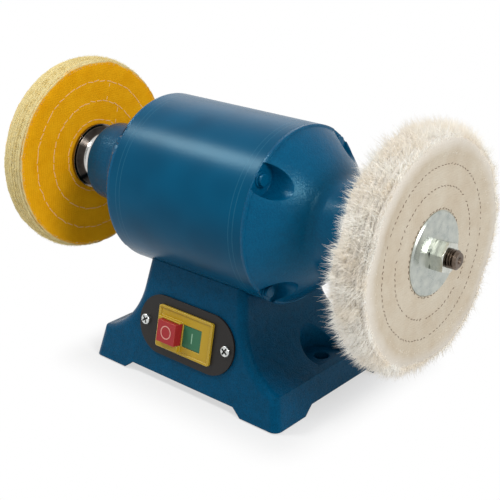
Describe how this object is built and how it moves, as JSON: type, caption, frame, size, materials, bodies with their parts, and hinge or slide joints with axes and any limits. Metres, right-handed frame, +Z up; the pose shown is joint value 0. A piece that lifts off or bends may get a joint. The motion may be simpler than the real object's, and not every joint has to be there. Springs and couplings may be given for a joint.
{
  "type": "bench polishing lathe",
  "caption": "Blue electric bench polishing lathe: a motor on a cast pedestal with a push-button switch, a yellow treated cotton buff on the left and a soft white buff on the right.",
  "frame": {"origin": "middle of the feet, on the bench", "axes": "+X along the shaft towards the white buff, +Y towards the back, +Z up"},
  "size_m": [0.354, 0.1578, 0.205],
  "materials": {
    "pedestal_paint": "hammered dark blue paint on cast iron",
    "bell_paint": "blue paint on cast iron, slightly rough",
    "shell_paint": "glossy blue paint on rolled steel",
    "foot_rubber": "matt black rubber",
    "sheet_steel": "bare sheet steel",
    "zinc_steel": "bright zinc plate",
    "dark_steel": "turned steel, dark in the grooves",
    "bearing_steel": "ground steel",
    "core_steel": "stacked steel sheets, varnished",
    "copper_wire": "enamelled copper wire under varnish",
    "cage_aluminium": "cast aluminium",
    "felt": "grey felt",
    "black_plastic": "brown-black plastic",
    "yellow_plastic": "yellow plastic",
    "red_plastic": "red plastic",
    "green_plastic": "green plastic",
    "brass_parts": "brass",
    "can_plastic": "pale grey plastic can",
    "block_plastic": "cream plastic",
    "yellow_cotton": "treated cotton sheets, stitched",
    "white_cotton": "soft cotton sheets, stitched"
  },
  "bodies": {
    "frame": {"pedestal": "pedestal_paint", "rubber_feet": "foot_rubber", "cover_plate": "sheet_steel", "cover_plate_screws": "zinc_steel", "motor_shell": "shell_paint", "end_bell_left": "bell_paint", "end_bell_right": "bell_paint", "tie_bolts": "bell_paint", "tie_bolt_washers": "bell_paint", "tie_bolt_nuts": "bell_paint", "saddle_bolts": "zinc_steel", "saddle_nuts": "zinc_steel", "stator_core": "core_steel", "stator_windings": "copper_wire", "bearing_outer_rings": "bearing_steel", "bearing_shields": "sheet_steel", "wave_washer": "sheet_steel", "dust_seals": "felt", "switch_plate": "black_plastic", "switch_plate_screws": "zinc_steel", "switch_bezel": "yellow_plastic", "switch_body": "black_plastic", "switch_terminals": "brass_parts", "run_capacitor": "can_plastic", "capacitor_clamp": "sheet_steel", "capacitor_clamp_screws": "zinc_steel", "terminal_block": "block_plastic", "terminal_screws": "brass_parts", "cord_grommet": "foot_rubber", "lead_grommet": "foot_rubber"},
    "rotor": {"rotor_shaft": "dark_steel", "rotor_core": "core_steel", "rotor_cage": "cage_aluminium", "bearing_inner_rings": "bearing_steel", "inner_flange_left": "dark_steel", "inner_flange_right": "dark_steel", "buff_yellow": "yellow_cotton", "buff_white": "white_cotton", "outer_flange_left": "zinc_steel", "outer_flange_right": "zinc_steel", "nut_left": "zinc_steel", "nut_right": "zinc_steel"},
    "ball_sets": {"bearing_ball_sets": "bearing_steel"},
    "stop_push": {"stop_button": "red_plastic"},
    "start_push": {"start_button": "green_plastic"}
  },
  "joints": [
    {"name": "rotor_spin", "type": "hinge", "parent": "frame", "child": "rotor", "pos_m": [0, -0.013, 0.13], "axis": [1, 0, 0], "continuous": true},
    {"name": "ball_sets_spin", "type": "hinge", "parent": "frame", "child": "ball_sets", "pos_m": [0, -0.013, 0.13], "axis": [1, 0, 0], "continuous": true},
    {"name": "stop_push", "type": "slide", "parent": "frame", "child": "stop_push", "axis": [0, 0.9787, -0.2055], "range_m": [0, 0.003], "stiffness_N_per_m": 1000},
    {"name": "start_push", "type": "slide", "parent": "frame", "child": "start_push", "axis": [0, 0.9787, -0.2055], "range_m": [0, 0.002], "stiffness_N_per_m": 1000}
  ],
  "couplings": [
    {"joint": "ball_sets_spin", "follows": "rotor_spin", "ratio": 0.38}
  ]
}
